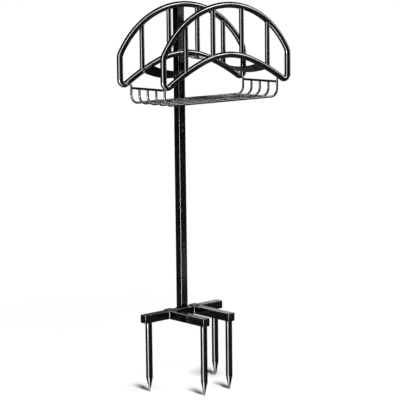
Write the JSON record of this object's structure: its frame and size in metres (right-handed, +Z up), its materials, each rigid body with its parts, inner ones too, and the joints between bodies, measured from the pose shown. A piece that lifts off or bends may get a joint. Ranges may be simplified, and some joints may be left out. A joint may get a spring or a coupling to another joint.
{
  "type": "freestanding hose holder",
  "caption": "Freestanding black steel hose holder: a sectional square post on a spiked ground base, with arched hoops joined into a saddle and a wire tray below.",
  "frame": {"origin": "centre of the bounding box in X and Y, at the level of the spike tips", "axes": "+Z up along the post, -Y towards the front hoop, +X to the right seen from the front hoop's side looking back"},
  "size_m": [0.51, 0.235, 1.172],
  "materials": {
    "steel": "gloss black powder coat",
    "cap_plastic": "satin black moulded plastic",
    "screw": "black oxide",
    "nut": "zinc plated"
  },
  "bodies": {
    "root": {"lower_post": "steel", "middle_post": "steel", "upper_post": "steel", "lower_joint_sleeve": "steel", "upper_joint_sleeve": "steel", "base_centre_bar": "steel", "base_left_arm": "steel", "base_right_arm": "steel", "left_corner_socket": "steel", "right_corner_socket": "steel", "left_prong": "steel", "right_prong": "steel", "rear_left_spike": "steel", "rear_right_spike": "steel", "front_left_spike": "steel", "front_right_spike": "steel", "rear_left_spike_tip": "steel", "rear_right_spike_tip": "steel", "front_left_spike_tip": "steel", "front_right_spike_tip": "steel", "rear_hoop": "steel", "front_hoop": "steel", "rear_hoop_bars": "steel", "front_hoop_bars": "steel", "left_saddle_slat": "steel", "centre_saddle_slat": "steel", "right_saddle_slat": "steel", "left_tray_rail": "steel", "right_tray_rail": "steel", "tray_front_rod": "steel", "tray_middle_rods": "steel", "tray_rear_rod": "steel", "post_top_cap": "cap_plastic", "corner_socket_caps": "cap_plastic", "arm_end_caps": "cap_plastic", "prong_end_caps": "cap_plastic", "lower_joint_screws": "screw", "upper_joint_screws": "screw", "lower_joint_nuts": "nut", "upper_joint_nuts": "nut"}
  },
  "joints": []
}
